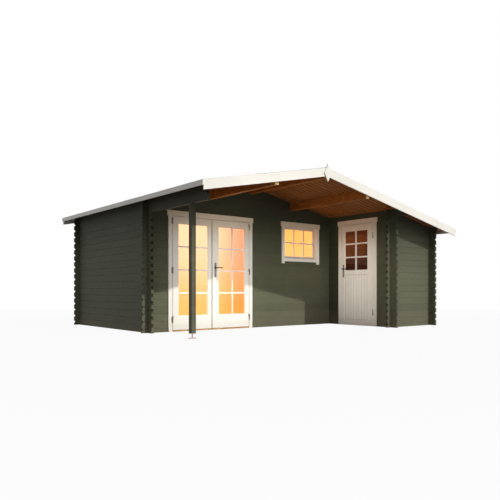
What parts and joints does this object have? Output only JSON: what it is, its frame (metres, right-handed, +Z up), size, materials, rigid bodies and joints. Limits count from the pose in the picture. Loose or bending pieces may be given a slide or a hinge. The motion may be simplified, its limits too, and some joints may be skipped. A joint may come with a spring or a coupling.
{
  "type": "garden house",
  "caption": "Log garden house with a covered porch, glazed double door, window, side room with its own door, and a low ridge roof on purlins and a corner post.",
  "frame": {"origin": "middle of the footprint of the whole house, roof included, on the ground", "axes": "+X to the right along the front, +Y to the back, +Z up"},
  "size_m": [5.649, 4.883, 2.5241],
  "materials": {
    "green_logs": "olive green paint, satin",
    "white_paint": "white paint, satin",
    "bare_wood": "brown stained timber",
    "floor_wood": "bare softwood boards",
    "sill_wood": "oiled hardwood",
    "dark_metal": "dark coated steel",
    "foot_steel": "galvanised",
    "roof_felt": "grey mineral felt",
    "pane_glass": "clear"
  },
  "bodies": {
    "house": {"left_wall": "green_logs", "back_wall": "green_logs", "right_wall": "green_logs", "front_wall_left": "green_logs", "front_wall_right": "green_logs", "front_gable": "green_logs", "side_wall_rear": "green_logs", "side_wall_front": "green_logs", "side_wall_top": "green_logs", "side_room_front_wall": "green_logs", "left_eave_beam": "green_logs", "right_eave_beam": "green_logs", "porch_post": "green_logs", "post_foot": "foot_steel", "ridge_purlin": "bare_wood", "left_purlin": "bare_wood", "right_purlin": "bare_wood", "roof_boards_left": "bare_wood", "roof_boards_right": "bare_wood", "roof_felt": "roof_felt", "front_bargeboards": "white_paint", "front_apex_plate": "white_paint", "back_bargeboards": "white_paint", "back_apex_plate": "white_paint", "eave_fascias": "white_paint", "main_floor": "floor_wood", "side_floor": "floor_wood", "door_frame": "white_paint", "door_sill": "sill_wood", "side_door_frame": "white_paint", "frame_hinges": "dark_metal", "window_frame": "white_paint", "window_sash": "white_paint", "window_glass": "pane_glass"},
    "left_door_leaf": {"left_leaf": "white_paint", "left_leaf_glass": "pane_glass", "left_leaf_hinges": "dark_metal"},
    "right_door_leaf": {"right_leaf": "white_paint", "right_leaf_glass": "pane_glass", "right_leaf_hinges": "dark_metal", "right_handle_plate": "dark_metal"},
    "right_door_lever": {"right_lever": "dark_metal"},
    "side_door_leaf": {"side_leaf": "white_paint", "side_leaf_glass": "pane_glass", "side_leaf_hinges": "dark_metal", "side_handle_plate": "dark_metal"},
    "side_door_lever": {"side_lever": "dark_metal"}
  },
  "joints": [
    {"name": "left_leaf_hinge", "type": "hinge", "parent": "house", "child": "left_door_leaf", "pos_m": [-2.1815, -0.6155, 1], "axis": [0, 0, -1], "range_deg": [0, 105]},
    {"name": "right_leaf_hinge", "type": "hinge", "parent": "house", "child": "right_door_leaf", "pos_m": [-0.6555, -0.6155, 1], "axis": [0, 0, 1], "range_deg": [0, 105]},
    {"name": "side_leaf_hinge", "type": "hinge", "parent": "house", "child": "side_door_leaf", "pos_m": [1.3245, -1.6885, 1], "axis": [0, 0, 1], "range_deg": [0, 105]},
    {"name": "right_lever_turn", "type": "hinge", "parent": "right_door_leaf", "child": "right_door_lever", "pos_m": [-1.3655, -0.6075, 1.025], "axis": [0, 1, 0], "range_deg": [0, 40]},
    {"name": "side_lever_turn", "type": "hinge", "parent": "side_door_leaf", "child": "side_door_lever", "pos_m": [1.3325, -0.9835, 1.0535], "axis": [1, 0, 0], "range_deg": [0, 40]}
  ]
}
